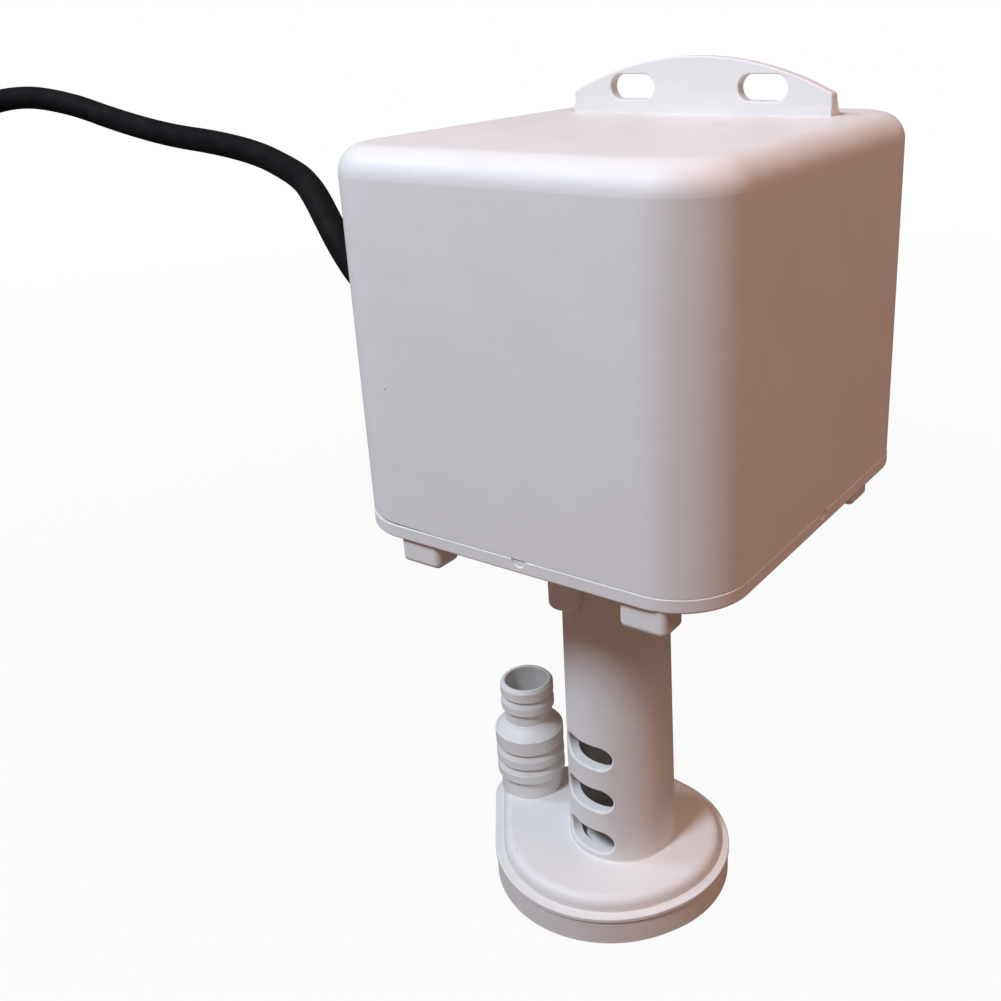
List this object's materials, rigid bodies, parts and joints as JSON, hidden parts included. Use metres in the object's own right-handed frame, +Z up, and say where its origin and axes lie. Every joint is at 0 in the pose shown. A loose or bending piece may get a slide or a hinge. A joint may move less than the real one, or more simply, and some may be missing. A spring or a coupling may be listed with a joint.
{
  "type": "ice maker pump",
  "caption": "Upright sump pump: a rounded motor box with a slotted flange stands on a slotted column, a scroll chamber with a stepped hose barb, and a black supply cord.",
  "frame": {"origin": "centre of the suction inlet in the underside of the volute cover, on the shaft's axis; z = 0 is the plane it stands on", "axes": "+Z up the shaft to the motor, -Y out of the large front wall, +X out of the right-hand side wall, so the outlet barb and the cord lie on the -X side"},
  "size_m": [0.4936, 0.1355, 0.1982],
  "materials": {
    "housing_plastic": "satin white moulded plastic",
    "gasket_rubber": "matt",
    "screw_steel": "zinc plated",
    "moulded_plastic": "satin",
    "slinger_rubber": "matt",
    "shaft_steel": "ground",
    "lamination_steel": "stacked sheets, bluish",
    "cage_aluminium": "cast",
    "bracket_alloy": "die cast",
    "copper": "enamelled copper",
    "bobbin_nylon": "natural nylon",
    "tape": "polyester tape",
    "cutout_plastic": "matt black",
    "tinned_brass": "tinned",
    "sintered_bronze": "oiled bronze",
    "cord_black": "satin black",
    "wire_black": "satin",
    "wire_white": "satin",
    "wire_green": "satin",
    "tie_plastic": "matt",
    "connector_plastic": "natural nylon"
  },
  "bodies": {
    "housing": {"motor_cover": "housing_plastic", "base_plate": "housing_plastic", "pump_column": "housing_plastic", "volute_cover": "housing_plastic", "volute_gasket": "gasket_rubber", "volute_screws": "screw_steel", "column_screws": "screw_steel", "frame_screws": "screw_steel", "earth_screw": "screw_steel", "bush_retainers": "screw_steel", "stator_core": "lamination_steel", "stator_bridge": "lamination_steel", "lower_bracket": "bracket_alloy", "upper_bracket": "bracket_alloy", "coil_winding": "copper", "shading_rings": "copper", "coil_bobbin": "bobbin_nylon", "thrust_washers": "bobbin_nylon", "cord_grip": "bobbin_nylon", "winding_tape": "tape", "thermal_cutout": "cutout_plastic", "coil_terminals": "tinned_brass", "earth_terminal": "tinned_brass", "connector_pins": "tinned_brass", "lower_bush": "sintered_bronze", "upper_bush": "sintered_bronze", "cord_lead": "cord_black", "cord_coil": "cord_black", "cord_tail": "cord_black", "strain_relief": "cord_black", "connector_boot": "cord_black", "lead_wire_live": "wire_black", "lead_wire_neutral": "wire_white", "lead_wire_earth": "wire_green", "cord_tie": "tie_plastic", "connector_body": "connector_plastic", "connector_latch": "connector_plastic"},
    "rotor": {"shaft": "shaft_steel", "rotor_core": "lamination_steel", "rotor_cage": "cage_aluminium", "rotor_spacers": "shaft_steel", "cooling_fan": "moulded_plastic", "slinger": "slinger_rubber", "impeller": "moulded_plastic"}
  },
  "joints": [
    {"name": "shaft_spin", "type": "hinge", "parent": "housing", "child": "rotor", "pos_m": [0, 0, 0.09], "axis": [0, 0, 1], "continuous": true}
  ]
}
